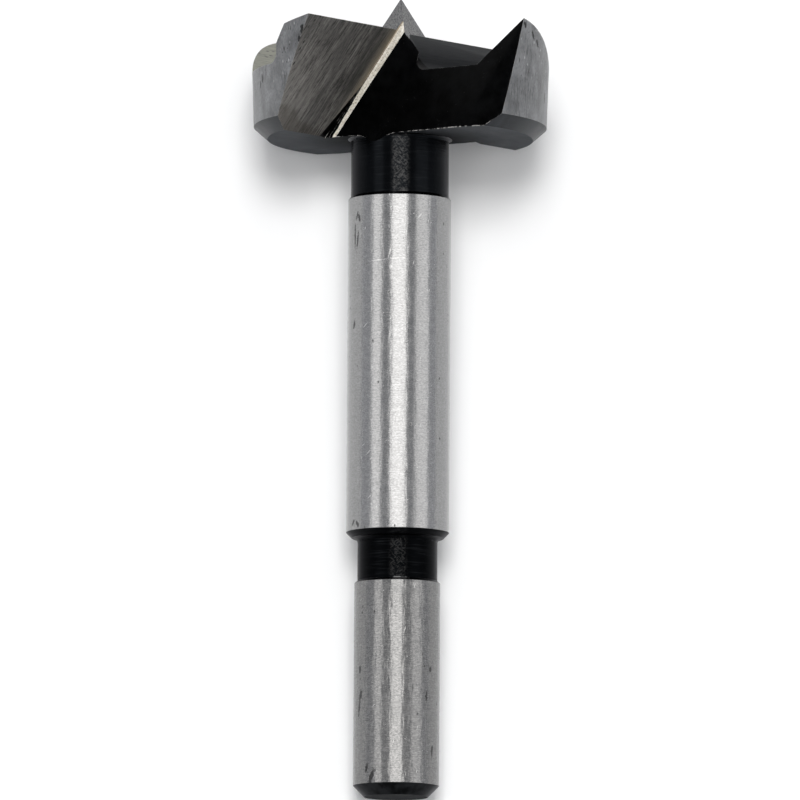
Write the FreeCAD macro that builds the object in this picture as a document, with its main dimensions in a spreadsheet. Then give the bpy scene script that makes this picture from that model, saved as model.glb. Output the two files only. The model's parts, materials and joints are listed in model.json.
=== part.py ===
# A 35 mm forstner bit with a 10 mm shank, turned, fluted and ground from one bar of steel.
import FreeCAD, Part
import os
import Sketcher

doc = FreeCAD.newDocument("ForstnerBit")

# Driving dimensions in millimetres and degrees. The bit stands on its shank end while it is
# modelled, with its centre point on top. In the head, "out" runs from the axis along a lip,
# and "ahead" runs across it, the way the bit turns.
SIZES = {
    "shank_diameter": 10.0,
    "shank_length": 25.2,
    "shank_end_chamfer": 1.3,
    "shank_top_chamfer": 0.3,
    "groove_diameter": 9.3,
    "groove_length": 5.6,
    "shoulder_fillet": 0.6,
    "body_diameter": 12.0,
    "body_length": 39.1,
    "body_bottom_chamfer": 0.65,
    "body_top_chamfer": 0.35,
    "neck_diameter": 11.4,
    "neck_length": 7.1,
    "neck_fillet": 0.4,
    # The head, from its flat back face to its lips
    "cutting_diameter": 35.0,
    "head_depth": 12.75,
    "heel_diameter": 34.2,
    "heel_bevel": 1.4,
    "back_face_diameter": 31.0,
    "spur_rise": 0.3,
    # The lip, and the ground gash that makes its rake face and the step beside it
    "lip_ahead": 0.86,
    "rake_angle": 25.9,
    "step_out": 1.5,
    "step_angle": 21.3,
    "gash_width": 8.0,
    # The forged flute: four corners of its section at the lips, and the same at the back face
    "root_out": 1.6,
    "root_ahead": 1.5,
    "knee_out": 1.6,
    "knee_ahead": 2.02,
    "core_out": -0.3,
    "core_ahead": 4.5,
    "core_radius": 8.0,
    "heel_out": -1.5,
    "heel_ahead": 17.4,
    "root_out_back": 6.6,
    "root_ahead_back": -5.95,
    "knee_out_back": 6.6,
    "knee_ahead_back": -4.92,
    "core_out_back": 5.3,
    "core_ahead_back": 0.8,
    "heel_out_back": 3.9,
    "heel_ahead_back": 12.75,
    "heel_slant": 22.0,
    "flute_opening": 21.0,
    # The ground top of a wing: a land behind the lip, and a channel that ends at the spur
    "land_angle": 10.8,
    "channel_turn": 3.0,
    "channel_depth": 5.1,
    "relief_start": 2.05,
    "relief_start_depth": 0.7,
    "relief_angle": 52.4,
    "wall_behind": 3.74,
    "channel_radius": 1.3,
    "spur_foot": 12.38,
    "spur_angle": 47.7,
    # The four-sided centre point
    "point_length": 3.85,
    "point_angle": 24.2,
    "point_flat": 0.1,
    "point_sunk": 2.0,
    # How far a cutter reaches past the metal that it removes
    "overrun": 1.0,
    "run_out": 3.0,
}

sheet = doc.addObject("Spreadsheet::Sheet", "Sizes")
for row, (alias, value) in enumerate(SIZES.items(), start=1):
    sheet.set(f"A{row}", alias.replace("_", " "))
    sheet.set(f"B{row}", str(value))
    sheet.setAlias(f"B{row}", alias)
doc.recompute()

body = doc.addObject("PartDesign::Body", "Bit")
body.Label = "forstner_bit"


def number(expression):
    """The number that an expression in the sheet's names gives."""
    result = body.evalExpression(expression)
    return float(getattr(result, "Value", result))


def origin_feature(role):
    """One of the body's own origin planes or axes."""
    return next(item for item in body.Origin.OriginFeatures if item.Role == role)


def hold_corner(sketch, index, kind, expression, axis):
    """Keep one corner on an axis, or at the distance from it that an expression gives."""
    if expression == "0":
        sketch.addConstraint(Sketcher.Constraint("PointOnObject", index, 1, axis))
        return
    start = Sketcher.Constraint(kind, -1, 1, index, 1, number(expression))
    constraint = sketch.addConstraint(start)
    sketch.setExpression(f"Constraints[{constraint}]", expression)


def add_outline(name, plane, corners, lift="0", turn="0"):
    """A closed sketch of straight lines with every corner held by two expressions.

    lift moves the sketch along the plane's normal, and turn swings it about its upright."""
    sketch = body.newObject("Sketcher::SketchObject", name)
    sketch.AttachmentSupport = [(origin_feature(plane), "")]
    sketch.MapMode = "FlatFace"
    swing = FreeCAD.Rotation(FreeCAD.Vector(0, 1, 0), number(turn))
    sketch.AttachmentOffset = FreeCAD.Placement(FreeCAD.Vector(0, 0, number(lift)), swing)
    if turn != "0":
        sketch.setExpression("AttachmentOffset.Rotation.Angle", f"({turn}) * 1 deg")
    if lift != "0":
        sketch.setExpression("AttachmentOffset.Base.z", f"({lift}) * 1 mm")
    points = [FreeCAD.Vector(number(across), number(up), 0) for across, up in corners]
    for start, end in zip(points, points[1:] + points[:1]):
        sketch.addGeometry(Part.LineSegment(start, end))
    for index, (across, up) in enumerate(corners):
        following = (index + 1) % len(corners)
        sketch.addConstraint(Sketcher.Constraint("Coincident", index, 2, following, 1))
        hold_corner(sketch, index, "DistanceX", across, -2)
        hold_corner(sketch, index, "DistanceY", up, -1)
    doc.recompute()
    return sketch


def add_pocket(name, sketch, length, backwards=False):
    """Cut a sketch straight through the metal."""
    pocket = body.newObject("PartDesign::Pocket", name)
    pocket.Profile = sketch
    pocket.Reversed = backwards
    pocket.setExpression("Length", f"({length}) * 1 mm")
    doc.recompute()
    return pocket


def add_opposite(name, cuts):
    """Repeat the cuts of one wing on the other, half a turn round the axis."""
    pattern = body.newObject("PartDesign::PolarPattern", name)
    pattern.Originals = cuts
    pattern.Axis = (origin_feature("Z_Axis"), [""])
    pattern.Angle = 360
    pattern.Occurrences = 2
    body.Tip = pattern
    doc.recompute()
    return pattern


def add_fillet(name, edges, radius):
    """Round some edges of the last feature."""
    base = body.Tip
    fillet = body.newObject("PartDesign::Fillet", name)
    fillet.Base = (base, edges)
    fillet.setExpression("Radius", radius)
    body.Tip = fillet
    doc.recompute()
    return fillet


def ring_at(radius, height):
    """The tip's round edge at a radius and a height, as a list of its one name."""
    for index, edge in enumerate(body.Tip.Shape.Edges, start=1):
        curve = edge.Curve
        if not isinstance(curve, Part.Circle):
            continue
        if abs(curve.Radius - number(radius)) < 1e-4 and abs(curve.Center.z - number(height)) < 1e-4:
            return [f"Edge{index}"]
    raise RuntimeError(f"no ring at {radius}, {height}")


def level_edges_at(reach, height):
    """The tip's straight level edges that pass the axis at a distance, at a height."""
    found = []
    for index, edge in enumerate(body.Tip.Shape.Edges, start=1):
        start = edge.Vertexes[0].Point
        drops = [abs(vertex.Point.z - number(height)) for vertex in edge.Vertexes]
        if not isinstance(edge.Curve, Part.Line) or max(drops) > 1e-4:
            continue
        way = edge.Curve.Direction
        if abs(abs(start.x * way.y - start.y * way.x) - number(reach)) < 1e-4:
            found.append(f"Edge{index}")
    return found


# Heights from the shank end, each the sum of the lengths below it
BODY_BOTTOM = "(Sizes.shank_length + Sizes.groove_length)"
NECK_BOTTOM = f"({BODY_BOTTOM} + Sizes.body_length)"
BACK_FACE = f"({NECK_BOTTOM} + Sizes.neck_length)"
LIPS = f"({BACK_FACE} + Sizes.head_depth)"
SPUR_TIPS = f"({LIPS} + Sizes.spur_rise)"

# The bar, turned to its outline from the shank end up to the flat top of the head
turned_outline = add_outline("turned_outline", "XZ_Plane", [
    ("0", "0"),
    ("Sizes.shank_diameter / 2 - Sizes.shank_end_chamfer", "0"),
    ("Sizes.shank_diameter / 2", "Sizes.shank_end_chamfer"),
    ("Sizes.shank_diameter / 2", "Sizes.shank_length - Sizes.shank_top_chamfer"),
    ("Sizes.groove_diameter / 2", "Sizes.shank_length"),
    ("Sizes.groove_diameter / 2", BODY_BOTTOM),
    ("Sizes.body_diameter / 2 - Sizes.body_bottom_chamfer", BODY_BOTTOM),
    ("Sizes.body_diameter / 2", f"{BODY_BOTTOM} + Sizes.body_bottom_chamfer"),
    ("Sizes.body_diameter / 2", f"{NECK_BOTTOM} - Sizes.body_top_chamfer"),
    ("Sizes.neck_diameter / 2", NECK_BOTTOM),
    ("Sizes.neck_diameter / 2", BACK_FACE),
    ("Sizes.back_face_diameter / 2", BACK_FACE),
    ("Sizes.heel_diameter / 2", f"{BACK_FACE} + Sizes.heel_bevel"),
    ("Sizes.cutting_diameter / 2", SPUR_TIPS),
    ("0", SPUR_TIPS),
])
turned_bar = body.newObject("PartDesign::Revolution", "turned_bar")
turned_bar.Profile = turned_outline
turned_bar.ReferenceAxis = (turned_outline, ["V_Axis"])
turned_bar.Angle = 360
body.Tip = turned_bar
doc.recompute()

add_fillet(
    "shoulder_fillet",
    ring_at("Sizes.groove_diameter / 2", BODY_BOTTOM),
    "Sizes.shoulder_fillet",
)
add_fillet(
    "neck_fillet",
    ring_at("Sizes.neck_diameter / 2", BACK_FACE),
    "Sizes.neck_fillet",
)

# The ground top of one wing. The land falls away behind the lip from the cutting edge, and
# the channel runs beside it from the middle out through the rim, so that a spur is left
# standing at the wing's trailing end.
CLEAR_TOP = f"({SPUR_TIPS} + Sizes.overrun)"
LAND_END = "(Sizes.relief_start + 2 * Sizes.overrun)"
LAND_FRONT = "(Sizes.lip_ahead + Sizes.overrun)"
land_outline = add_outline(
    "land_outline",
    "YZ_Plane",
    [
        (LAND_FRONT, f"{LIPS} + Sizes.overrun * tan(Sizes.land_angle)"),
        (LAND_FRONT, CLEAR_TOP),
        (f"-{LAND_END}", CLEAR_TOP),
        (
            f"-{LAND_END}",
            f"{LIPS} - (Sizes.lip_ahead + {LAND_END}) * tan(Sizes.land_angle)",
        ),
    ],
    lift="-Sizes.step_out",
)
land = add_pocket("land", land_outline, "Sizes.cutting_diameter", backwards=True)

CHANNEL_FLOOR = f"({LIPS} - Sizes.channel_depth)"
RELIEF_START = f"({LIPS} - Sizes.relief_start_depth)"
RELIEF_DROP = "(Sizes.wall_behind - Sizes.relief_start) * tan(Sizes.relief_angle)"
channel_outline = add_outline(
    "channel_outline",
    "YZ_Plane",
    [
        (
            f"-(Sizes.relief_start - ({CLEAR_TOP} - {RELIEF_START}) / tan(Sizes.relief_angle))",
            CLEAR_TOP,
        ),
        ("-Sizes.wall_behind", f"{RELIEF_START} - {RELIEF_DROP}"),
        ("-Sizes.wall_behind", CHANNEL_FLOOR),
        ("-Sizes.spur_foot", CHANNEL_FLOOR),
        (
            f"-(Sizes.spur_foot + ({CLEAR_TOP} - {CHANNEL_FLOOR}) / tan(Sizes.spur_angle))",
            CLEAR_TOP,
        ),
    ],
    lift="-(Sizes.step_out + Sizes.overrun)",
    turn="-Sizes.channel_turn",
)
channel = add_pocket("channel", channel_outline, "Sizes.cutting_diameter", backwards=True)
add_opposite("both_wing_tops", [land, channel])

# The wheel's rounded corner leaves a fillet between the channel's floor and the lip's back wall
WALL_REACH = "(Sizes.wall_behind + (Sizes.step_out + Sizes.overrun) * sin(Sizes.channel_turn))"
add_fillet(
    "channel_fillet",
    level_edges_at(WALL_REACH, CHANNEL_FLOOR),
    "Sizes.channel_radius",
)

# The centre point: a pyramid whose sides are square to the lips, rooted in the web
POINT_FOOT = f"({LIPS} - Sizes.point_sunk)"
POINT_TIP = f"({LIPS} + Sizes.point_length)"
TIP_HALF = "(Sizes.point_flat / 2)"
FOOT_HALF = f"({TIP_HALF} + ({POINT_TIP} - {POINT_FOOT}) * tan(Sizes.point_angle))"


def add_square(name, half, height):
    """A square about the axis, level with a height."""
    corners = [(half, half), (f"-{half}", half), (f"-{half}", f"-{half}"), (half, f"-{half}")]
    return add_outline(name, "XY_Plane", corners, lift=height)


point = body.newObject("PartDesign::AdditiveLoft", "centre_point")
point.Profile = add_square("point_foot", FOOT_HALF, POINT_FOOT)
point.Sections = [add_square("point_tip", TIP_HALF, POINT_TIP)]
point.Ruled = True
body.Tip = point
doc.recompute()

# One flute as forged: its section changes evenly from the lips to below the back face
FAR = "Sizes.cutting_diameter"
HEEL_REACH = "(Sizes.cutting_diameter / 4)"


def flute_place(name, height):
    """Where a corner of the flute is at a height, on its line from lips to back face."""
    fall = f"(Sizes.{name}_back - Sizes.{name})"
    share = f"(({LIPS} - {height}) / Sizes.head_depth)"
    return f"(Sizes.{name} + {fall} * {share})"


def add_flute_section(name, height):
    """The flute's section at a height, from its root round by the core to the open rim."""
    corners = [
        (flute_place(f"{corner}_out", height), flute_place(f"{corner}_ahead", height))
        for corner in ("root", "knee", "core", "heel")
    ]
    heel_out, heel_ahead = corners[-1]
    root_out, root_ahead = corners[0]
    trailing = f"{heel_ahead} + {HEEL_REACH}"
    corners.append((f"{heel_out} - {HEEL_REACH} * tan(Sizes.heel_slant)", trailing))
    corners.append((FAR, trailing))
    corners.append((FAR, f"{root_ahead} + ({FAR} - {root_out}) * tan(Sizes.flute_opening)"))
    return add_outline(name, "XY_Plane", corners, lift=height)


flute = body.newObject("PartDesign::SubtractiveLoft", "flute")
flute.Profile = add_flute_section("flute_top", f"({LIPS} + Sizes.overrun)")
flute.Sections = [add_flute_section("flute_bottom", f"({BACK_FACE} - Sizes.run_out)")]
flute.Ruled = True
body.Tip = flute
doc.recompute()

# The gash ground along the flute: its flank is the rake face, and its edge the bright step
GASH_SIDE = "Sizes.lip_ahead + Sizes.gash_width"
gash_outline = add_outline(
    "gash_outline",
    "XY_Plane",
    [
        ("Sizes.step_out", "Sizes.lip_ahead"),
        (FAR, "Sizes.lip_ahead"),
        (FAR, GASH_SIDE),
        ("Sizes.step_out", GASH_SIDE),
    ],
    lift=LIPS,
)
gash = add_pocket("gash", gash_outline, "Sizes.cutting_diameter")
gash.UseCustomVector = True
gash.setExpression("Direction.x", "tan(Sizes.step_angle)")
gash.setExpression("Direction.y", "-tan(Sizes.rake_angle)")
gash.setExpression("Direction.z", "-1")
gash.SideType = "Symmetric"
body.Tip = gash
doc.recompute()
add_opposite("both_flutes", [flute, gash])


def flute_crease(name):
    """The edges, one on each wing, where two walls of a flute meet along a corner's line."""
    start, end = (
        FreeCAD.Vector(
            number(flute_place(f"{name}_out", height)),
            number(flute_place(f"{name}_ahead", height)),
            number(height),
        )
        for height in (LIPS, BACK_FACE)
    )
    way = (end - start).normalize()
    found = []
    for index, edge in enumerate(body.Tip.Shape.Edges, start=1):
        middle = edge.valueAt((edge.FirstParameter + edge.LastParameter) / 2)
        for place in (middle, FreeCAD.Vector(-middle.x, -middle.y, middle.z)):
            arm = place - start
            if (arm - way * arm.dot(way)).Length < 1e-3:
                found.append(f"Edge{index}")
    return found


add_fillet("core_rounding", flute_crease("core"), "Sizes.core_radius")


def resting_placement(shape):
    """Lay the bit down on one flute, so that three points touch the floor at height zero.

    Of the planes that the shape can lean on, this finds the one under the centre of mass:
    a trial contact is swapped for the point that sinks furthest, until nothing sinks."""
    down = FreeCAD.Vector(-0.76, -0.65, 0).normalize()
    along = FreeCAD.Vector(0, 0, 1)
    across = down.cross(along)
    centre = shape.CenterOfGravity
    reaches = []
    for point in shape.tessellate(0.01)[0]:
        arm = point - centre
        reaches.append((arm.dot(down), FreeCAD.Vector(1, arm.dot(along), arm.dot(across))))
    head = [item for item in reaches if item[1].y > 0]
    contacts = [
        max((item for item in reaches if item[1].y < 0), key=lambda item: item[0]),
        max((item for item in head if item[1].z > 0), key=lambda item: item[0]),
        max((item for item in head if item[1].z < 0), key=lambda item: item[0]),
    ]
    while True:
        (reach_a, a), (reach_b, b), (reach_c, c) = contacts
        volume = a.dot(b.cross(c))
        sides = (b.cross(c) / volume, c.cross(a) / volume, a.cross(b) / volume)
        plane = sides[0] * reach_a + sides[1] * reach_b + sides[2] * reach_c
        deepest = max(reaches, key=lambda item: item[0] - item[1].dot(plane))
        if deepest[0] - deepest[1].dot(plane) < 1e-6:
            break
        middle = FreeCAD.Vector(1, 0, 0)
        ratios = [
            (middle.dot(side) / deepest[1].dot(side), index)
            for index, side in enumerate(sides)
            if deepest[1].dot(side) > 1e-9
        ]
        contacts[min(ratios)[1]] = deepest
    floor = (down - along * plane.y - across * plane.z).normalize()
    up = floor * -1
    ahead = (along - up * along.dot(up)).normalize()
    turn = FreeCAD.Rotation(ahead.cross(up), ahead, up, "ZYX").inverted()
    turned = [turn.multVec(point) for point in shape.tessellate(0.01)[0]]
    low = FreeCAD.Vector(*(min(getattr(point, axis) for point in turned) for axis in "xyz"))
    high = FreeCAD.Vector(*(max(getattr(point, axis) for point in turned) for axis in "xyz"))
    return FreeCAD.Placement(
        FreeCAD.Vector(-(low.x + high.x) / 2, -(low.y + high.y) / 2, -low.z),
        turn,
    )


body.Placement = resting_placement(body.Shape)
doc.recompute()

for item in doc.Objects:
    if "Invalid" in item.State or "Error" in item.State:
        raise RuntimeError(f"{item.Name} failed: {item.State}")

os.makedirs("parts", exist_ok=True)
for part in [body]:
    if part.Shape.isNull() or not part.Shape.isValid():
        raise RuntimeError(f"{part.Label} has no valid shape")
    part.Shape.exportStep(f"parts/{part.Label}.step")
    print(part.Label, part.Shape.ShapeType, round(part.Shape.Volume, 1), len(part.Shape.Solids))
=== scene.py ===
import json
import math

import bmesh
import bpy
import numpy as np
from mathutils import Matrix, Vector


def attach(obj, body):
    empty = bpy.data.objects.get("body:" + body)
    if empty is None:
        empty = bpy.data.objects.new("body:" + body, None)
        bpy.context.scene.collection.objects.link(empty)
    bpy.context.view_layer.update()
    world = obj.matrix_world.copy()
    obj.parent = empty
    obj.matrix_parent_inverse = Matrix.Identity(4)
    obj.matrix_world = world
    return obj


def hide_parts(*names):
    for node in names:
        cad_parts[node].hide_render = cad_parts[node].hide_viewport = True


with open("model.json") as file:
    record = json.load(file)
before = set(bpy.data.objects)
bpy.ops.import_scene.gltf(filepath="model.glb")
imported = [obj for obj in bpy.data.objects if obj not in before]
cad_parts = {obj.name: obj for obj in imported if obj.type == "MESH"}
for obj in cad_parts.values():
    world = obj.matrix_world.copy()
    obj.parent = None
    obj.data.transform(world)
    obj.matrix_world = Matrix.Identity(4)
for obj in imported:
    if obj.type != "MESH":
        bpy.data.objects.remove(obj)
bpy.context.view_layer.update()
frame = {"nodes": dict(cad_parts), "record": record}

# The bit's own axes: foot is the middle of the shank's end, along runs up to the centre
# point, lip_out runs out along a lip, and lip_ahead crosses it the way the bit turns.
shank_end = next(mount for mount in frame["record"]["mounts"] if mount["name"] == "shank_end")
foot = Vector(shank_end["pos_m"])
along = -Vector(shank_end["axis"])
side = Vector((1.0, 0.0, 0.0))
under = along.cross(side)
lips_turn = math.radians(228.69)
lip_out = math.cos(lips_turn) * side + math.sin(lips_turn) * under
lip_ahead = math.cos(lips_turn) * under - math.sin(lips_turn) * side

# The camera has a long lens and looks down on the bit from the shank's end of the table.
# It is swung about the bit's axis by less than a degree, and leans by a third of a degree.
camera_data = bpy.data.cameras.new("camera")
camera = bpy.data.objects.new("camera", camera_data)
bpy.context.scene.collection.objects.link(camera)
bpy.context.scene.camera = camera
camera_distance = 1.5
camera_rise = math.radians(77.229)
camera_lean = math.radians(0.373)
camera_swing = math.radians(-0.81)
camera_aim = Vector((0.00018, -0.0001, 0.009))
camera_back = Vector((0.0, -math.cos(camera_rise), math.sin(camera_rise)))
stand = Matrix.Translation(camera_aim + camera_back * camera_distance)
stand = stand @ Matrix.Rotation(math.pi / 2 - camera_rise, 4, "X")
stand = stand @ Matrix.Rotation(camera_lean, 4, "Z")
swing = Matrix.Rotation(camera_swing, 4, along)
swing = Matrix.Translation(foot) @ swing @ Matrix.Translation(-foot)
camera.matrix_world = swing @ stand
lens_in_pixels = 12883.0
picture_pixels = 800
camera_data.sensor_width = 36.0
camera_data.lens = lens_in_pixels / picture_pixels * camera_data.sensor_width
camera_data.clip_start = 0.05
camera_data.clip_end = 30.0
bpy.context.scene.view_settings.view_transform = "Standard"

# The table is a plain white sheet that runs on far past the picture. It keeps the bit's
# shadow, and the camera and the steel see it a little brighter than its own white.
table_mesh = bpy.data.meshes.new("table")
table_half = 6.0
table_corners = [
    (-table_half, -table_half, 0),
    (table_half, -table_half, 0),
    (table_half, table_half, 0),
    (-table_half, table_half, 0),
]
table_mesh.from_pydata(table_corners, [], [(0, 1, 2, 3)])
table = bpy.data.objects.new("table", table_mesh)
bpy.context.scene.collection.objects.link(table)


def new_node(tree, kind, feeds=(), **settings):
    """Add one shader node. Settings are its own values; feeds gives an input a value or link."""
    node = tree.nodes.new("ShaderNode" + kind)
    for name, value in settings.items():
        setattr(node, name, value)
    for key, value in dict(feeds).items():
        if isinstance(value, bpy.types.NodeSocket):
            tree.links.new(value, node.inputs[key])
        else:
            node.inputs[key].default_value = value
    return node


def combine(tree, operation, first, second=0.0):
    """One sum of two numbers or links."""
    return new_node(tree, "Math", {0: first, 1: second}, operation=operation).outputs[0]


def seen_straight(tree):
    """1 where the camera or the shining steel sees a thing, and 0 where it only gives light."""
    ray = new_node(tree, "LightPath").outputs
    return combine(tree, "MAXIMUM", ray["Is Camera Ray"], ray["Is Glossy Ray"])


table_white = (0.835, 0.847, 0.866, 1)
table_glow = (0.98, 0.99, 1.0, 1)
table_lift = 0.05
table_paint = bpy.data.materials.new("table_paint")
table_paint.use_nodes = True
table_tree = table_paint.node_tree
table_shader = table_tree.nodes["Principled BSDF"]
table_shader.inputs["Base Color"].default_value = table_white
table_shader.inputs["Roughness"].default_value = 0.8
table_shader.inputs["Specular IOR Level"].default_value = 0.2
table_shader.inputs["Emission Color"].default_value = table_glow
lifted = combine(table_tree, "MULTIPLY", seen_straight(table_tree), table_lift)
table_tree.links.new(lifted, table_shader.inputs["Emission Strength"])
table_mesh.materials.append(table_paint)

# The room round the bit is pale. It is dim as light, but the steel sees it whole, and paler
# towards the floor, so it fills the gaps between the lamps.
room_white = (0.94, 0.955, 1, 1)
room_light = 0.15
room_seen_low, room_seen_high = 0.85, 0.5


def split_place(tree, place):
    """The X, Y and Z of a place."""
    return new_node(tree, "SeparateXYZ", {0: place}).outputs


def spread_over(tree, value, low, high, to_low=0.0, to_high=1.0):
    """Carry a value from one range to another and hold it there."""
    ends = {"Value": value, "From Min": low, "From Max": high, "To Min": to_low, "To Max": to_high}
    return new_node(tree, "MapRange", ends).outputs[0]


world = bpy.data.worlds.new("studio")
bpy.context.scene.world = world
world.use_nodes = True
room = world.node_tree
room_shade = room.nodes["Background"]
room_shade.inputs["Color"].default_value = room_white
way_up = split_place(room, new_node(room, "TexCoord").outputs["Generated"])[2]
room_seen = spread_over(room, way_up, 0.1, 0.95, room_seen_low, room_seen_high)
room_feeds = {"Factor": seen_straight(room), "A": room_light, "B": room_seen}
room_glow = new_node(room, "Mix", room_feeds)
room.links.new(room_glow.outputs[0], room_shade.inputs["Strength"])

# Soft studio light: a broad lamp round the camera, a long soft lamp on each side, and a
# smaller one behind the head, which throws its shadow towards the shank. The steel mirrors
# the first three as the stripes down the ground bar.
lamp_distance = 2.0
lamp_white = (1.0, 0.985, 0.96)


def add_lamp(name, angle, tilt, width, length, glow):
    """A rectangular lamp at a distance from the bit, turned about it by an angle from overhead
    to the right after a tilt towards the shank. Its power is four times its area times its
    glow, which is how bright the steel sees it."""
    data = bpy.data.lights.new(name, "AREA")
    data.shape = "RECTANGLE"
    data.size = width
    data.size_y = length
    data.energy = glow * width * length * 4
    data.color = lamp_white
    lamp = bpy.data.objects.new(name, data)
    to_side = Matrix.Rotation(math.radians(angle), 4, "Y")
    to_shank = Matrix.Rotation(math.radians(tilt), 4, "X")
    lamp.matrix_world = to_side @ to_shank @ Matrix.Translation((0, 0, lamp_distance))
    lamp.visible_camera = False
    bpy.context.scene.collection.objects.link(lamp)
    return lamp


add_lamp("lamp_over", angle=-1.0, tilt=-4.0, width=1.25, length=1.9, glow=2.2)
add_lamp("lamp_left", angle=-51.0, tilt=-4.0, width=0.8, length=1.9, glow=1.25)
add_lamp("lamp_right", angle=52.0, tilt=-4.0, width=1.15, length=1.9, glow=1.0)
lamp_behind = add_lamp(
    "lamp_behind", angle=-1.0, tilt=-11.0, width=0.6, length=0.6, glow=14.0
)
lamp_behind.visible_glossy = False

# The bit is one piece of tool steel: a bar turned to its steps, with a head that is fluted
# by forging and then ground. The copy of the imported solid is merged, and its faces are
# sorted by the way each was made. Lengths here are in millimetres from the shank's end.
shank_low, shank_high = 1.3, 24.92
body_low, body_high = 30.8, 69.9
back_face_height = 77.0
bevel_top = 78.4
lips_height = 89.75
spur_height = 90.05
neck_radius = 5.7
back_face_radius = 15.45
heel_radius = 17.1
cutting_radius = 17.5

bit_mesh = frame["nodes"]["forstner_bit"].data.copy()
bit_mesh.name = "bit"
bit = bpy.data.objects.new("bit", bit_mesh)
bpy.context.scene.collection.objects.link(bit)
bit_mesh.materials.clear()

# The body's two ends stand a little further apart in the photograph than in the solid, so
# the rings of edges at each end of it move out.
lower_end_shift = 0.0006
upper_end_shift = 0.0003
mesh_edit = bmesh.new()
mesh_edit.from_mesh(bit_mesh)
bmesh.ops.remove_doubles(mesh_edit, verts=mesh_edit.verts, dist=2e-6)
for vertex in mesh_edit.verts:
    vertex_height = (vertex.co - foot).dot(along) * 1000
    if body_low - 0.7 < vertex_height < body_low + 0.7:
        vertex.co -= along * lower_end_shift
    if body_high - 0.4 < vertex_height < body_high + 0.05:
        vertex.co += along * upper_end_shift
mesh_edit.to_mesh(bit_mesh)
mesh_edit.free()

count = len(bit_mesh.polygons)
centres = np.empty(count * 3)
bit_mesh.polygons.foreach_get("center", centres)
normals = np.empty(count * 3)
bit_mesh.polygons.foreach_get("normal", normals)
to_bit = np.array([lip_out, lip_ahead, along]).T
centres = (centres.reshape(-1, 3) - np.array(foot)) @ to_bit * 1000
normals = normals.reshape(-1, 3) @ to_bit
height = centres[:, 2]
radius = np.hypot(centres[:, 0], centres[:, 1])
from_lips = centres - [0, 0, lips_height]
depth = -from_lips[:, 2]

# The middle of a flat face lies this near its plane, and the middle of a facet of a round
# one lies up to this far inside the round.
near = 0.06
sag = 0.12


def faces_on(out, ahead, up, distance):
    """Faces of either wing that lie in a plane, given by its unit normal in the bit's axes
    and by how far it is from the lips' middle. The other wing is half a turn round."""
    found = np.zeros(count, bool)
    for wing in ([1, 1, 1], [-1, -1, 1]):
        normal = np.array([out, ahead, up]) * wing
        in_plane = np.abs(from_lips @ normal - distance) < near
        found |= in_plane & (normals @ normal > 0.985)
    return found


# The finishes are numbered in the order in which their steels are added below. What none of
# the rules below picks out is the black scale of a flute.
BODY, SHANK, HEAT_SCALE, RIM, BEVEL, BACK_FACE, FLUTE = range(7)
RAKE, STEP, LAND, RELIEF, SPUR, POINT = range(7, 13)
finish = np.full(count, FLUTE)
turned = height < back_face_height - 0.1
off_flutes = (radius > neck_radius - 0.08) | (height < body_high - 0.9)
finish[turned & off_flutes] = HEAT_SCALE
finish[turned & (height > shank_low) & (height < shank_high)] = SHANK
finish[turned & (height > body_low) & (height < body_high)] = BODY
finish[turned & (height < 0.02)] = BACK_FACE
head = ~turned
up_rim = (height - bevel_top) / (spur_height - bevel_top)
rim_radius = heel_radius + (cutting_radius - heel_radius) * up_rim
finish[head & (radius > rim_radius - sag) & (height > bevel_top)] = RIM
up_bevel = (height - back_face_height) / (bevel_top - back_face_height)
bevel_radius = back_face_radius + 1.6 * up_bevel
finish[head & (radius > bevel_radius - sag) & (height < bevel_top)] = BEVEL
faces_back = normals[:, 2] < -0.97
finish[head & faces_back] = BACK_FACE
neck_fillet = (np.abs(height - back_face_height + 0.05) < 0.1) & (radius < neck_radius + 0.9)
finish[neck_fillet] = HEAT_SCALE

# Behind each lip come a narrow land, a slope and a wall, a fillet, the channel's floor, and
# the bevel of the spur. In front of it are the rake face and the bright step.
rake_normal = (0, 0.8995, -0.4368)
step_normal = (0.9317, 0, 0.3632)
channel_turn = math.radians(3)
channel_wall = 3.871
channel_floor = 5.1
channel_fillet = 1.3
behind = np.abs(
    centres[:, 0] * math.sin(channel_turn) + centres[:, 1] * math.cos(channel_turn)
)
from_middle = np.hypot(
    behind - channel_wall - channel_fillet, depth - channel_floor + channel_fillet
)
fillet = np.abs(from_middle - channel_fillet) < near
fillet &= (behind < 5.2) & (depth > 3.75) & (depth < 5.2)
finish[head & fillet & (normals[:, 2] > 0.02)] = RELIEF
ground_faces = [
    (LAND, 0, -0.1874, 0.9823, -0.1615),
    (RELIEF, -0.0415, -0.7912, 0.6101, 1.3006),
    (RELIEF, -0.0523, -0.9986, 0, channel_wall),
    (RELIEF, 0, 0, 1, -channel_floor),
    (SPUR, 0.0387, 0.7386, 0.6730, -12.686),
    (RAKE, *rake_normal, 0.7736),
    (STEP, *step_normal, 1.3975),
]
for ground_finish, *plane in ground_faces:
    finish[head & faces_on(*plane)] = ground_finish

# Below the step's own foot the forged flute comes within reach of the rake face's plane.
step_out = 1.5
step_slope = 0.39
beside_step = np.abs(np.abs(centres[:, 0]) - step_out - step_slope * depth) < 0.8
finish[(finish == RAKE) & beside_step & (depth > 5)] = FLUTE

# The centre point is a four-sided spike with its tip above the lips.
point_rise = 3.85
point_slope = 0.4494
tip_half_width = 0.05
half_width = tip_half_width + point_slope * (point_rise + depth)
widest = np.maximum(np.abs(centres[:, 0]), np.abs(centres[:, 1]))
on_point = (np.abs(widest - half_width) < near) & (depth < 1.6) & (radius < 3.5)
finish[head & on_point] = POINT
finish[head & (depth < -3.8)] = POINT
bit_mesh.polygons.foreach_set("material_index", finish)

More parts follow.
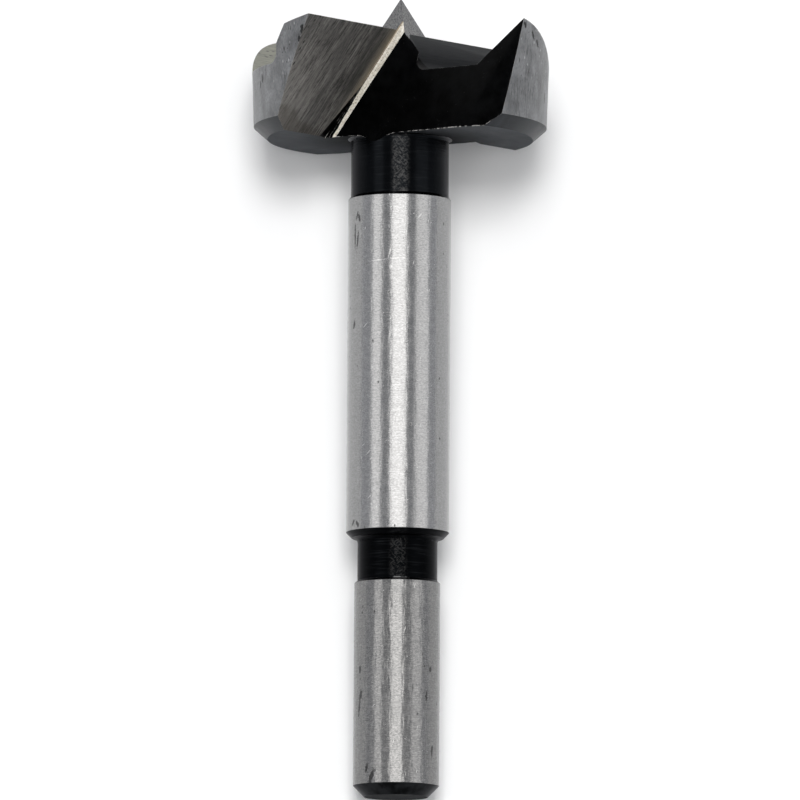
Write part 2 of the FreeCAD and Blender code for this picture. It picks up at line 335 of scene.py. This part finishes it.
# Edges between two finishes stay sharp, and the channel's fillet stays smooth.
bit_mesh.attributes.remove(bit_mesh.attributes["custom_normal"])
bit_mesh.shade_smooth()
bit_mesh.set_sharp_from_angle(angle=math.radians(20))
mesh_edit = bmesh.new()
mesh_edit.from_mesh(bit_mesh)
for edge in mesh_edit.edges:
    finishes = {face.material_index for face in edge.link_faces}
    if len(finishes) == 2:
        edge.smooth = False
    if finishes == {RELIEF}:
        edge.smooth = True
mesh_edit.to_mesh(bit_mesh)
mesh_edit.free()

# The body and the shank are ground between centres: fine rings run round them, crossed by nicks,
# thin scratches and a few dark pits. The light marks on the body are partly scratches and partly
# painted glints. The chuck has dulled the shank and dented its end. A mark has a height, an angle
# from the top, a lean in degrees, a length and a width.
body_radius = 6.0
body_nicks = [
    (67.6, -56, 25, 1.2, 0.42),
    (67.3, -52, -20, 1.2, 0.4),
    (65.2, -60, 0, 3.4, 0.36),
    (64.6, -55, 8, 2.4, 0.32),
    (54.8, -61, 20, 1.1, 0.5),
    (31.7, -60, 35, 1.1, 0.42),
    (31.5, -52, -30, 1.0, 0.46),
]
body_scratches_and_glints = [
    (66.1, -12, 0, 0.6, 0.3),
    (63.0, -11, 15, 1.9, 0.2),
    (61.3, -10, 0, 0.5, 0.4),
    (62.2, -17, 86, 4.6, 0.14),
    (67.3, 22, 40, 1.0, 0.2),
]
shank_radius = 5.0
shank_nicks = [
    (14.6, -59, 0, 1.0, 0.5),
    (11.6, -57, 14, 1.5, 0.6),
    (10.2, -60, 8, 2.6, 0.44),
    (3.1, -44, 10, 1.3, 0.46),
    (2.0, -36, 22, 2.6, 0.7),
    (5.2, 55, 5, 1.5, 0.5),
    (11.4, 43, 0, 1.5, 0.36),
    (14.6, 50, 10, 0.9, 0.46),
]


def weigh(tree, first, second, share):
    """A share of one value, and the rest from another."""
    rest = combine(tree, "MULTIPLY", second, 1 - share)
    return combine(tree, "ADD", combine(tree, "MULTIPLY", first, share), rest)


def blend_colour(tree, amount, first, second):
    """One colour passing into another as an amount goes from 0 to 1."""
    node = new_node(tree, "Mix", data_type="RGBA", clamp_factor=True)
    for index, value in ((0, amount), (6, first), (7, second)):
        if isinstance(value, bpy.types.NodeSocket):
            tree.links.new(value, node.inputs[index])
        else:
            node.inputs[index].default_value = value
    return node.outputs[2]


def shade(tree, value, low, high, first, second, most=1.0):
    """One colour passing into another, at most so far, as a value goes from low to high."""
    return blend_colour(tree, spread_over(tree, value, low, high, 0.0, most), first, second)


def grey(level, warm=0.0):
    """A grey of a level, a little red for a warm one and a little blue for a cold one."""
    return (level * (1 + warm), level, level * (1 - 1.4 * warm), 1)


def bit_place(tree, way, face=(0.31, 0.17, 0.93), shift=0.0):
    """Millimetres from the shank's end, turned so that X runs along a direction and Y crosses
    it in the plane of a face whose normal is given. A shift moves one pattern off another."""
    first = Vector(way).normalized()
    second = Vector(face).cross(first).normalized()
    turn = Matrix((first, second, first.cross(second)))
    offset = turn @ (-foot * 1000) + Vector((shift, shift * 0.7, shift * 1.3))
    where = new_node(tree, "TexCoord")
    mapping = new_node(
        tree,
        "Mapping",
        {
            "Vector": where.outputs["Object"],
            "Location": offset,
            "Rotation": turn.to_euler(),
            "Scale": (1000, 1000, 1000),
        },
    )
    return mapping.outputs[0]


def height_along(tree):
    """Millimetres up the bit's axis from the shank's end."""
    return split_place(tree, bit_place(tree, along))[0]


def stretched_place(tree, way, run, gap, shift):
    """Places counted in lengths of run along a direction and of gap across it."""
    scale = (1 / run, 1 / gap, 1 / gap)
    place = bit_place(tree, way, shift=shift)
    return new_node(tree, "Mapping", {"Vector": place, "Scale": scale}).outputs[0]


def streaks(tree, way, run, gap, shift=0.0, detail=3.0):
    """Uneven lines from 0 to 1: each is about run long along a direction and gap wide."""
    place = stretched_place(tree, way, run, gap, shift)
    feeds = {"Vector": place, "Scale": 1.0, "Detail": detail, "Roughness": 0.6}
    return new_node(tree, "TexNoise", feeds).outputs["Fac"]


def flecks(tree, way, run, gap, share, shift=0.0, spread=0.4):
    """Scattered marks, 1 inside and 0 outside, in that share of the cells of a stretched
    pattern. A mark is the ball within spread of its cell's middle, and its edge is ragged."""
    place = stretched_place(tree, way, run, gap, shift)
    cells = new_node(tree, "TexVoronoi", {"Vector": place, "Scale": 1.0, "Randomness": 1.0})
    ragged = new_node(tree, "TexNoise", {"Vector": place, "Scale": 4.0, "Detail": 2.0})
    ragged = combine(tree, "MULTIPLY", ragged.outputs["Fac"], 0.6 * spread)
    split = new_node(tree, "SeparateColor", {0: cells.outputs["Color"]})
    chosen = combine(tree, "LESS_THAN", split.outputs[0], share)
    reach = combine(tree, "ADD", cells.outputs["Distance"], 0.3 * spread)
    reach = combine(tree, "SUBTRACT", reach, ragged)
    inside = spread_over(tree, reach, 0.5 * spread, spread, 1.0, 0.0)
    return combine(tree, "MULTIPLY", inside, chosen)


def mark_at(tree, height_up, turn, lean, long, wide, radius):
    """1 within a ragged oval on the bit's side and 0 outside, in millimetres. Its middle is
    at a height and at an angle from the top towards the right, and it leans from upright."""
    turn, lean = math.radians(turn), math.radians(lean)
    outward = side * math.sin(turn) - under * math.cos(turn)
    way = along * math.cos(lean) + along.cross(outward) * math.sin(lean)
    to_oval = Matrix((way, outward.cross(way), outward))
    middle = to_oval @ (along * height_up + outward * radius)
    scale = Vector((2 / long, 2 / wide, 1.0))
    moved = Vector(-length * times for length, times in zip(middle, scale))
    place = bit_place(tree, way, outward)
    oval = new_node(tree, "Mapping", {"Vector": place, "Location": moved, "Scale": scale})
    reach = new_node(tree, "VectorMath", {0: oval.outputs[0]}, operation="LENGTH")
    ragged = new_node(
        tree, "TexNoise", {"Vector": bit_place(tree, along), "Scale": 3.5, "Detail": 2.0}
    )
    ragged = combine(tree, "MULTIPLY", ragged.outputs["Fac"], 1.4)
    reach = combine(tree, "ADD", reach.outputs["Value"], ragged)
    return spread_over(tree, reach, 1.35, 1.75, 1.0, 0.0)


def worn_edges(tree, width, low, high, shift=0.0, thin=0.35, full=0.6):
    """How far the surface is worn bright, from 0 to 1, near the edges of the steel."""
    rounded = new_node(tree, "Bevel", {"Radius": width}, samples=6)
    flat = new_node(tree, "NewGeometry")
    sides = {0: rounded.outputs[0], 1: flat.outputs["Normal"]}
    same = new_node(tree, "VectorMath", sides, operation="DOT_PRODUCT")
    bend = combine(tree, "SUBTRACT", 1.0, same.outputs["Value"])
    patch = spread_over(tree, streaks(tree, along, 1.2, 0.5, shift), thin, full)
    return combine(tree, "MULTIPLY", spread_over(tree, bend, low, high), patch)


def new_steel(name, metallic=1.0):
    """A bare metal material, added to the bit, with its tree and its shader."""
    paint = bpy.data.materials.new(name)
    paint.use_nodes = True
    shader = paint.node_tree.nodes["Principled BSDF"]
    shader.inputs["Metallic"].default_value = metallic
    bit_mesh.materials.append(paint)
    return paint.node_tree, shader


def lay_on(tree, shader, colour, roughness, marks, mark_depth, edge=0.0):
    """Give a steel its colour and its roughness, and raise it by its marks times a depth in
    metres, over edges that look rounded by a width in metres."""
    tree.links.new(colour, shader.inputs["Base Color"])
    tree.links.new(roughness, shader.inputs["Roughness"])
    bump = new_node(tree, "Bump", {"Height": marks, "Distance": mark_depth, "Strength": 1.0})
    if edge:
        rounded = new_node(tree, "Bevel", {"Radius": edge}, samples=6)
        tree.links.new(rounded.outputs[0], bump.inputs["Normal"])
    tree.links.new(bump.outputs[0], shader.inputs["Normal"])


def new_ground_length(name, low, high, roughness, wave, radius, dark_marks, scratch_and_glint_marks=()):
    """One ground length of the bar: its darkest and its lightest steel, its roughness, the
    height of its waves against its grain, its radius, and its marks."""
    tree, shader = new_steel(name)
    rings = streaks(tree, along, 0.06, 1.6, detail=2.0)
    grain = streaks(tree, along, 0.14, 0.3, 3.0, 1.0)
    bands = streaks(tree, along, 0.9, 9.0, 7.0)
    cloud = streaks(tree, along, 5.0, 2.0, 3.0)
    skin = weigh(tree, rings, grain, 0.35)
    colour = shade(tree, skin, 0.35, 0.65, low, high)
    colour = shade(tree, cloud, 0.5, 0.75, colour, low, 0.2)
    nicks = flecks(tree, along, 0.7, 0.35, 0.018, 11.0, 0.32)
    for mark in dark_marks:
        nicks = combine(tree, "MAXIMUM", nicks, mark_at(tree, *mark, radius))
    nicks = combine(tree, "MULTIPLY", nicks, 0.85)
    scratches_and_glints = flecks(tree, lip_ahead + along * 0.8, 3.0, 0.22, 0.04, 5.0, 0.2)
    crossing = flecks(tree, along + side * 0.25, 2.6, 0.25, 0.05, 23.0, 0.18)
    scratches_and_glints = combine(tree, "MAXIMUM", scratches_and_glints, crossing)
    # The light marks are partly scratches and partly painted glints.
    for mark in scratch_and_glint_marks:
        faint = combine(tree, "MULTIPLY", mark_at(tree, *mark, radius), 0.5)
        scratches_and_glints = combine(tree, "MAXIMUM", scratches_and_glints, faint)
    scratches_and_glints = combine(tree, "MULTIPLY", scratches_and_glints, 0.6)
    colour = blend_colour(tree, scratches_and_glints, colour, grey(0.6, 0.01))
    colour = blend_colour(tree, nicks, colour, grey(0.035))
    roughness = spread_over(tree, bands, 0.3, 0.7, roughness - 0.035, roughness + 0.035)
    marks = combine(tree, "SUBTRACT", combine(tree, "MULTIPLY", skin, 0.5), nicks)
    marks = combine(tree, "SUBTRACT", marks, combine(tree, "MULTIPLY", scratches_and_glints, 0.6))
    waves = combine(tree, "MULTIPLY", streaks(tree, along, 3.5, 0.9, 27.0, 2.0), wave)
    marks = combine(tree, "ADD", marks, waves)
    lay_on(tree, shader, colour, roughness, marks, 0.000018, 0.00012)


new_ground_length(
    "ground_body",
    low=grey(0.22),
    high=grey(0.315),
    roughness=0.205,
    wave=1.5,
    radius=body_radius,
    dark_marks=body_nicks,
    scratch_and_glint_marks=body_scratches_and_glints,
)
new_ground_length(
    "ground_shank",
    low=grey(0.135),
    high=grey(0.235, 0.01),
    roughness=0.255,
    wave=3.5,
    radius=shank_radius,
    dark_marks=shank_nicks,
)

# The neck, the groove and the chamfers keep their black heat scale. The tool that turned them left
# faint rings. A strip along the top carries short bright crossing strokes: painted glints, placed
# where the top lamp's reflection falls.
glint_strip_half_width = 0.75
glint_strip_fades_by = 1.2
# A painted highlight: the lamp's reflection on the shank's top chamfer, below the groove.
groove_glint = (25.08, 2, 90, 2.2, 0.4, 4.8)
tree, shader = new_steel("heat_scale")
shader.inputs["Specular Tint"].default_value = (0.7, 0.7, 0.71, 1)
rings = streaks(tree, along, 0.13, 3.0, 2.0, 1.0)
patches = streaks(tree, along, 1.5, 1.2, 9.0)
height_up = height_along(tree)
below_body = spread_over(tree, height_up, body_low + 0.2, body_low + 1.2, 1.0, 0.0)
wear = worn_edges(tree, 0.00012, 0.05, 0.2, 4.0, 0.5, 0.7)
fillet_low = back_face_height - 1.5
clear_of_head = spread_over(tree, height_up, fillet_low, fillet_low + 0.5, 1.0, 0.0)
wear = combine(tree, "MULTIPLY", wear, clear_of_head)
# The strip of painted glints lies along the top of the bar, where the top lamp is reflected.
bar_place = split_place(tree, bit_place(tree, along, -under))
across_bar = combine(tree, "ABSOLUTE", bar_place[1])
on_glint_strip = spread_over(tree, across_bar, glint_strip_half_width, glint_strip_fades_by, 1.0, 0.0)
on_glint_strip = combine(tree, "MULTIPLY", on_glint_strip, spread_over(tree, bar_place[2], 0.0, 2.0))
left_glint_strokes = streaks(tree, along + side * 1.1, 0.5, 0.13, 3.0, 1.0)
right_glint_strokes = streaks(tree, along - side * 1.1, 0.5, 0.13, 9.0, 1.0)
glint_strokes = combine(
    tree,
    "MAXIMUM",
    spread_over(tree, left_glint_strokes, 0.53, 0.66),
    spread_over(tree, right_glint_strokes, 0.53, 0.66),
)
bright = combine(tree, "MULTIPLY", on_glint_strip, glint_strokes)
up_body = spread_over(tree, height_up, body_low + 1.2, 60.0, 0.45, 1.0)
bright = combine(tree, "MULTIPLY", bright, up_body)
on_end = spread_over(tree, height_up, shank_low, shank_low + 0.2, 1.0, 0.0)
colour = blend_colour(tree, patches, grey(0.003, -0.12), grey(0.007, -0.12))
colour = blend_colour(tree, below_body, colour, grey(0.002, -0.12))
colour = shade(tree, rings, 0.55, 0.75, colour, grey(0.012, -0.08), 0.6)
# Painted glints on the top strip.
colour = blend_colour(tree, bright, colour, grey(0.028))
mottled = shade(tree, patches, 0.4, 0.6, grey(0.004, -0.06), grey(0.014, -0.06))
colour = blend_colour(tree, on_end, colour, mottled)
# The painted highlight on the shank's top chamfer.
colour = blend_colour(tree, mark_at(tree, *groove_glint), colour, grey(0.2))
colour = blend_colour(tree, wear, colour, grey(0.25, 0.02))
roughness = spread_over(tree, below_body, 0.0, 1.0, 0.22, 0.36)
lay_on(tree, shader, colour, roughness, rings, 0.00001, 0.0001)

# The rim of the head is turned, then tumbled: an even grey, with upright pits near the spurs and
# creases in places, and painted glints among the pits. Its nicks are given as on the body.
rim_mark_radius = 17.2
rim_nicks = [
    (83.2, -69, 0, 1.3, 0.5),
    (82.6, -71.5, 0, 1.0, 0.4),
    (88.0, -42, 10, 1.4, 0.6),
    (87.0, -43.5, 0, 1.1, 0.45),
    (89.2, 55, -30, 0.9, 0.6),
    (88.2, 61, -30, 1.3, 0.6),
    (87.4, 65, -35, 1.3, 0.6),
    (81.6, 76.5, 0, 1.8, 0.5),
]
creased_place = (81.0, 54, 0, 6.5, 5.0)
tree, shader = new_steel("rim_satin")
cloud = streaks(tree, along, 3.5, 2.2, 6.0)
grain = streaks(tree, along, 0.3, 0.16, 3.0, 2.0)
creases = streaks(tree, along, 1.3, 0.22, 18.0, 2.0)
creased = spread_over(tree, streaks(tree, along, 4.5, 4.0, 21.0, 1.0), 0.48, 0.6)
creased = combine(tree, "MAXIMUM", creased, mark_at(tree, *creased_place, rim_mark_radius))
creases = combine(tree, "MULTIPLY", spread_over(tree, creases, 0.5, 0.7), creased)
near_spur = spread_over(tree, height_along(tree), 80.0, 85.0)
pits = flecks(tree, along, 1.1, 0.26, 0.14, 2.0, 0.36)
spots = flecks(tree, along, 0.4, 0.3, 0.12, 8.0, 0.3)
pits = combine(tree, "MULTIPLY", combine(tree, "MAXIMUM", pits, spots), near_spur)
for mark in rim_nicks:
    pits = combine(tree, "MAXIMUM", pits, mark_at(tree, *mark, rim_mark_radius))
# Bright flecks near the spurs are painted glints.
glints = combine(tree, "MULTIPLY", flecks(tree, along, 0.7, 0.25, 0.1, 12.0, 0.35), near_spur)
wear = worn_edges(tree, 0.00018, 0.04, 0.25, 2.0)
colour = shade(tree, cloud, 0.35, 0.65, grey(0.125, -0.02), grey(0.25, -0.02))
colour = shade(tree, grain, 0.4, 0.7, colour, grey(0.09, -0.015), 0.5)
dark_creases = combine(tree, "MULTIPLY", creases, 0.7)
colour = blend_colour(tree, dark_creases, colour, grey(0.05, -0.015))
colour = blend_colour(tree, glints, colour, grey(0.4))
colour = blend_colour(tree, wear, colour, grey(0.36, 0.02))
colour = blend_colour(tree, pits, colour, grey(0.03))
hollows = combine(tree, "MAXIMUM", pits, creases)
marks = combine(tree, "SUBTRACT", combine(tree, "MULTIPLY", grain, 0.4), hollows)
roughness = spread_over(tree, cloud, 0.3, 0.7, 0.36, 0.46)
lay_on(tree, shader, colour, roughness, marks, 0.00003, 0.00015)

# The bevel at the back of the rim is turned in the same chucking as the rim. Its colour is kept
# dark as painted shade.
tree, shader = new_steel("bevel_turned")
rings = streaks(tree, along, 0.1, 2.0, 1.0)
cloud = streaks(tree, along, 2.5, 1.5, 16.0)
wear = worn_edges(tree, 0.00012, 0.06, 0.3, 6.0)
colour = shade(tree, cloud, 0.3, 0.7, grey(0.017, -0.08), grey(0.036, -0.08))
colour = blend_colour(tree, wear, colour, grey(0.2))
roughness = spread_over(tree, cloud, 0.3, 0.7, 0.4, 0.5)
lay_on(tree, shader, colour, roughness, rings, 0.00001, 0.00012)

# The flat back face of the head is turned and dull with scale, with painted shade that darkens it
# near the neck. The sawn end of the shank is like it.
neck_shade_within, neck_shade_ends = 6.5, 12.5
tree, shader = new_steel("back_face", metallic=0.0)
shader.inputs["Specular IOR Level"].default_value = 0.02
rings = streaks(tree, lip_out, 2.0, 0.3, 5.0)
cloud = streaks(tree, along, 2.5, 2.5, 26.0)
off_axis = new_node(tree, "Mapping", {"Vector": bit_place(tree, along), "Scale": (0, 1, 1)})
from_axis = new_node(tree, "VectorMath", {0: off_axis.outputs[0]}, operation="LENGTH")
neck_shade = spread_over(tree, from_axis.outputs["Value"], neck_shade_within, neck_shade_ends, 0.9, 0.0)
colour = shade(tree, cloud, 0.3, 0.7, grey(0.075, -0.06), grey(0.115, -0.06))
colour = shade(tree, rings, 0.45, 0.7, colour, grey(0.05, -0.05), 0.35)
# Painted shade towards the neck; the sawn end of the shank lies wholly within it.
colour = blend_colour(tree, neck_shade, colour, grey(0.012, -0.05))
roughness = spread_over(tree, cloud, 0.3, 0.7, 0.55, 0.7)
lay_on(tree, shader, colour, roughness, rings, 0.00001, 0.0001)

# The flutes keep the deep black scale of the forging. Their lower edge, where it meets the
# back face, is rubbed bright, and the edges above it are rubbed less.
tree, shader = new_steel("flute_scale")
cloud = streaks(tree, along, 2.0, 1.6, 4.0)
scratch = flecks(tree, lip_out + lip_ahead * 0.6, 3.0, 0.2, 0.04, 1.0, 0.22)
wear = worn_edges(tree, 0.0002, 0.05, 0.2, 7.0, 0.46, 0.58)
low_edge = spread_over(
    tree, height_along(tree), back_face_height + 0.3, back_face_height + 0.8, 1.0, 0.15
)
wear = combine(tree, "MULTIPLY", wear, low_edge)
colour = shade(tree, cloud, 0.35, 0.7, grey(0.001, -0.05), grey(0.004, -0.05))
colour = blend_colour(tree, scratch, colour, grey(0.04))
colour = blend_colour(tree, wear, colour, grey(0.75, 0.03))
roughness = spread_over(tree, cloud, 0.3, 0.7, 0.4, 0.55)
lay_on(tree, shader, colour, roughness, cloud, 0.00003, 0.0001)

# The rake face is ground lengthways, beside the bright step, and has dulled to a warm grey. Along
# the upper half of the step's foot it is dark, and brown nearer the foot, with a painted highlight
# right at the foot; it is smudged below.
rake_slant = math.radians(25.9)
step_slant = math.radians(21.3)
rake_way = lip_out * math.tan(step_slant) - lip_ahead * math.tan(rake_slant) - along
rake_face = lip_ahead * rake_normal[1] + along * rake_normal[2]
step_top = lip_out * step_out + lip_ahead * 0.86 + along * lips_height
face_end = lip_out * 6.4 - lip_ahead * 6.5 + along * (lips_height - 12.6)
step_foot = rake_face.cross(rake_way).normalized().dot(step_top)
lower_end = rake_way.normalized().dot(face_end)
tree, shader = new_steel("rake_ground", metallic=0.45)
face_place = split_place(tree, bit_place(tree, rake_way, rake_face))
down_face = face_place[0]
from_step = combine(tree, "ABSOLUTE", combine(tree, "SUBTRACT", face_place[1], step_foot))
upper_half = spread_over(tree, down_face, lower_end - 7.0, lower_end - 1.5, 1.0, 0.0)
lower_half = spread_over(tree, down_face, lower_end - 11.0, lower_end - 2.0)
lines = streaks(tree, rake_way, 2.6, 0.22, 3.0, 5.0)
grain = streaks(tree, rake_way + lip_out * 0.3, 0.5, 0.16, 6.0, 3.0)
lines = weigh(tree, lines, grain, 0.7)
broad = streaks(tree, rake_way, 8.0, 1.0, 8.0, 2.0)
blotch = streaks(tree, rake_way, 2.0, 1.2, 12.0)
wear = worn_edges(tree, 0.0001, 0.08, 0.3, 3.0, 0.4, 0.65)
colour = shade(tree, lines, 0.38, 0.62, grey(0.022, 0.03), grey(0.23, 0.035))
colour = shade(tree, broad, 0.4, 0.62, colour, grey(0.05, 0.02), 0.6)
dark_band = spread_over(tree, from_step, 1.4, 4.2, 0.75, 0.0)
dark_band = combine(tree, "MULTIPLY", dark_band, upper_half)
colour = blend_colour(tree, dark_band, colour, grey(0.018, 0.02))
outer = spread_over(tree, from_step, 4.0, 8.5, 0.0, 0.55)
outer = combine(tree, "MULTIPLY", outer, lower_half)
outer = combine(tree, "MULTIPLY", outer, spread_over(tree, lines, 0.35, 0.55, 0.4, 1.0))
colour = blend_colour(tree, outer, colour, grey(0.24, 0.05))
smudge = combine(tree, "ADD", down_face, combine(tree, "MULTIPLY", blotch, 3.0))
smudge = spread_over(tree, smudge, lower_end + 1.1, lower_end + 1.9, 0.0, 0.4)
colour = blend_colour(tree, smudge, colour, (0.045, 0.038, 0.028, 1))
colour = shade(tree, blotch, 0.58, 0.75, colour, grey(0.04, 0.05), 0.4)
brown = combine(tree, "ADD", from_step, combine(tree, "MULTIPLY", blotch, 0.5))
brown = combine(tree, "MULTIPLY", spread_over(tree, brown, 0.3, 1.6, 0.85, 0.0), upper_half)
colour = blend_colour(tree, brown, colour, (0.13, 0.108, 0.08, 1))
# A painted highlight along the step's foot.
glow = combine(tree, "ADD", from_step, combine(tree, "MULTIPLY", lines, 0.5))
glow = combine(tree, "MULTIPLY", spread_over(tree, glow, 0.22, 0.5, 0.8, 0.0), upper_half)
colour = blend_colour(tree, glow, colour, (0.6, 0.52, 0.4, 1))
pits = flecks(tree, rake_way, 0.9, 0.34, 0.3, 14.0, 0.38)
pits = combine(tree, "MULTIPLY", pits, spread_over(tree, from_step, 10.5, 12.0))
colour = blend_colour(tree, pits, colour, grey(0.015))
colour = blend_colour(tree, wear, colour, grey(0.3, 0.05))
roughness = spread_over(tree, broad, 0.3, 0.7, 0.38, 0.5)
lay_on(tree, shader, colour, roughness, lines, 0.00003, 0.0001)

# The step beside the rake face is fresh bright steel, with fine chatter and dark specks, and a
# painted highlight along its inner edge. The wheel left it narrower towards the back of the head,
# with black scale on both sides. Its two edges are given across the wall, at two distances down it
# from the lips.
step_wall = lip_out * step_normal[0] + along * step_normal[2]
step_across = step_wall.cross(rake_way).normalized()
lips_middle = along * lips_height
tree, shader = new_steel("step_ground")
wall_place = split_place(tree, bit_place(tree, rake_way, step_wall))
lips_down = rake_way.normalized().dot(lips_middle)
down_step = combine(tree, "SUBTRACT", wall_place[0], lips_down)
over_step = combine(tree, "SUBTRACT", wall_place[1], step_across.dot(lips_middle))
inner_edge = spread_over(tree, down_step, 4.0, 15.0, 0.75, 1.4)
outer_edge = spread_over(tree, down_step, 12.0, 15.0, 2.2, 1.97)
chatter = streaks(tree, rake_way, 0.2, 0.3, 2.0, 3.0)
lines = streaks(tree, rake_way, 2.5, 0.2, 2.0)
specks = flecks(tree, rake_way, 0.34, 0.24, 0.4, 5.0, 0.4)
ragged = combine(tree, "MULTIPLY", streaks(tree, rake_way, 0.7, 0.7, 15.0, 3.0), 0.3)
from_inner = combine(tree, "SUBTRACT", combine(tree, "ADD", over_step, ragged), inner_edge)
to_outer = combine(tree, "SUBTRACT", combine(tree, "ADD", outer_edge, ragged), over_step)
bright = combine(
    tree,
    "MULTIPLY",
    spread_over(tree, from_inner, 0.11, 0.19),
    spread_over(tree, to_outer, 0.11, 0.19),
)
colour = shade(tree, chatter, 0.38, 0.62, (0.7, 0.65, 0.56, 1), (1.0, 0.98, 0.92, 1))
colour = shade(tree, lines, 0.4, 0.65, colour, (0.5, 0.45, 0.38, 1), 0.45)
# A painted highlight along the step's inner edge.
inner_edge_highlight = spread_over(tree, from_inner, 0.2, 0.6, 0.5, 0.0)
colour = blend_colour(tree, inner_edge_highlight, colour, (0.97, 0.93, 0.78, 1))
dark_specks = combine(tree, "MULTIPLY", specks, 0.7)
colour = blend_colour(tree, dark_specks, colour, (0.2, 0.17, 0.14, 1))
colour = blend_colour(tree, bright, grey(0.002, -0.05), colour)
tree.links.new(spread_over(tree, bright, 0.0, 1.0, 1.0, 0.25), shader.inputs["Metallic"])
roughness = spread_over(tree, chatter, 0.3, 0.7, 0.35, 0.5)
lay_on(tree, shader, colour, roughness, chatter, 0.00003)

# The land is the narrow ground face just behind a lip. It is the last face to be ground, so
# it is the cleanest.
tree, shader = new_steel("land_ground")
lines = streaks(tree, lip_ahead, 4.0, 0.12, 3.0)
wear = worn_edges(tree, 0.0001, 0.06, 0.25, 5.0)
colour = shade(tree, lines, 0.3, 0.7, grey(0.24), grey(0.4))
colour = blend_colour(tree, wear, colour, grey(0.6, 0.02))
roughness = spread_over(tree, lines, 0.3, 0.7, 0.25, 0.4)
lay_on(tree, shader, colour, roughness, lines, 0.00001, 0.0001)

# The relief behind the land is ground and blued by heat: dark, with lines along the lip. The
# wheel stopped short of the core, which keeps its black scale below a slanting line.
core_foot = 85.2
core_slope = 1.16
tree, shader = new_steel("relief_ground")
lines = streaks(tree, lip_out, 5.0, 0.14, 3.0)
cloud = streaks(tree, lip_out, 2.0, 1.5, 13.0)
wear = worn_edges(tree, 0.00008, 0.08, 0.3, 5.0, 0.45, 0.7)
wing_place = split_place(tree, bit_place(tree, lip_out, along))
which_wing = combine(tree, "SIGN", wing_place[1])
inward = combine(tree, "MULTIPLY", wing_place[0], which_wing)
slant = combine(tree, "SUBTRACT", wing_place[2], core_foot)
slant = combine(tree, "MULTIPLY", slant, core_slope)
on_core = spread_over(tree, combine(tree, "SUBTRACT", inward, slant), -0.1, 0.1)
colour = shade(tree, lines, 0.3, 0.7, grey(0.011, -0.06), grey(0.024, -0.06))
colour = shade(tree, cloud, 0.4, 0.7, colour, grey(0.022, -0.05), 0.4)
colour = blend_colour(tree, wear, colour, grey(0.25, 0.02))
colour = blend_colour(tree, on_core, colour, grey(0.002, -0.05))
roughness = spread_over(tree, lines, 0.3, 0.7, 0.4, 0.55)
lay_on(tree, shader, colour, roughness, lines, 0.00001, 0.0001)

# A spur is the sharp corner of the rim that scores the edge of the hole. Its inner face is
# ground across, bright and a little warm, with dark scratches.
tree, shader = new_steel("spur_ground")
lines = streaks(tree, lip_out, 3.0, 0.16, 13.0)
pits = flecks(tree, lip_out, 1.0, 0.22, 0.14, 3.0, 0.4)
wear = worn_edges(tree, 0.0001, 0.06, 0.3, 8.0)
colour = shade(tree, lines, 0.3, 0.7, (0.15, 0.15, 0.13, 1), (0.3, 0.3, 0.25, 1))
colour = blend_colour(tree, wear, colour, grey(0.4, 0.03))
colour = blend_colour(tree, pits, colour, grey(0.05))
roughness = spread_over(tree, lines, 0.3, 0.7, 0.35, 0.5)
lay_on(tree, shader, colour, roughness, lines, 0.00001, 0.0001)

# The centre point guides the bit and is ground on four sides. It has a fine short grain and
# pits, and is darker down its corners.
tree, shader = new_steel("point_ground")
grain = streaks(tree, along, 0.2, 0.15, 3.0, 2.0)
pits = flecks(tree, along, 0.45, 0.22, 0.22, 2.0, 0.36)
corner = worn_edges(tree, 0.0004, 0.01, 0.1, 3.0, 0.3, 0.5)
colour = shade(tree, grain, 0.35, 0.65, grey(0.1), grey(0.25))
colour = blend_colour(tree, combine(tree, "MULTIPLY", corner, 0.35), colour, grey(0.07))
colour = blend_colour(tree, combine(tree, "MULTIPLY", pits, 0.8), colour, grey(0.06))
roughness = spread_over(tree, grain, 0.3, 0.7, 0.35, 0.5)
lay_on(tree, shader, colour, roughness, grain, 0.00001, 0.0001)

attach(bit, "root")
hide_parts("forstner_bit")
